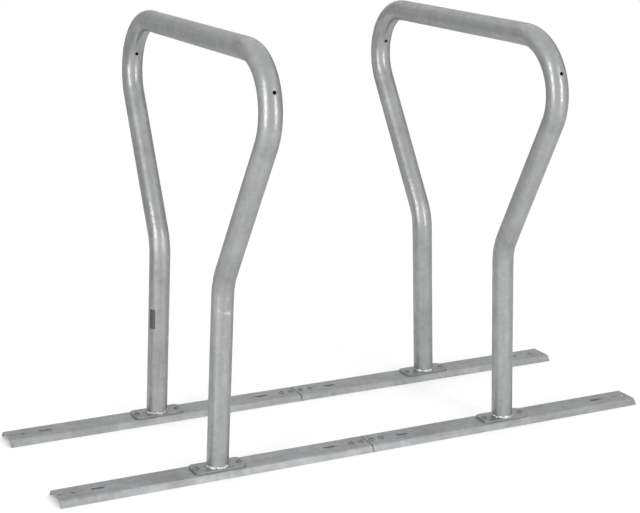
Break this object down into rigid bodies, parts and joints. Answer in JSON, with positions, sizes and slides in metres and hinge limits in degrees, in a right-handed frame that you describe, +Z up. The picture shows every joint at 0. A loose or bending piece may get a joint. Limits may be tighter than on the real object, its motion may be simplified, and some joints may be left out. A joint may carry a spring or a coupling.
{
  "type": "floor bike rack",
  "caption": "Floor bike rack with two flared bent-tube hoops on foot plates, screwed to two low bent-sheet rails with slotted anchor holes.",
  "frame": {"origin": "on the ground at the middle of the rack, between the two rail joints", "axes": "+X along the rails, +Y from the front rail to the back rail, +Z up"},
  "size_m": [1.451, 0.825, 0.9473],
  "materials": {
    "galvanised_tube": "hot-dip galvanised, weathered matt",
    "galvanised_sheet": "hot-dip galvanised sheet, streaked",
    "galvanised_plate": "hot-dip galvanised plate",
    "zinc_bright_weld": "rippled weld under bright zinc",
    "zinc_plated_screws": "zinc-plated",
    "zinc_plated_nuts": "zinc-plated",
    "blank_label": "matt printed film, blank"
  },
  "bodies": {
    "root": {"rail_front_left": "galvanised_sheet", "rail_front_right": "galvanised_sheet", "rail_back_left": "galvanised_sheet", "rail_back_right": "galvanised_sheet", "joint_plate_front": "galvanised_plate", "joint_plate_back": "galvanised_plate", "joint_screws_front": "zinc_plated_screws", "joint_screws_back": "zinc_plated_screws", "joint_nuts_front": "zinc_plated_nuts", "joint_nuts_back": "zinc_plated_nuts", "hoop_tube_left": "galvanised_tube", "hoop_tube_right": "galvanised_tube", "foot_plate_left_front": "galvanised_plate", "foot_plate_left_back": "galvanised_plate", "foot_plate_right_front": "galvanised_plate", "foot_plate_right_back": "galvanised_plate", "weld_bead_left_front": "zinc_bright_weld", "weld_bead_left_back": "zinc_bright_weld", "weld_bead_right_front": "zinc_bright_weld", "weld_bead_right_back": "zinc_bright_weld", "foot_screws_left": "zinc_plated_screws", "foot_screws_right": "zinc_plated_screws", "foot_washers_left": "zinc_plated_nuts", "foot_washers_right": "zinc_plated_nuts", "foot_nuts_left": "zinc_plated_nuts", "foot_nuts_right": "zinc_plated_nuts", "blank_label": "blank_label"}
  },
  "joints": []
}
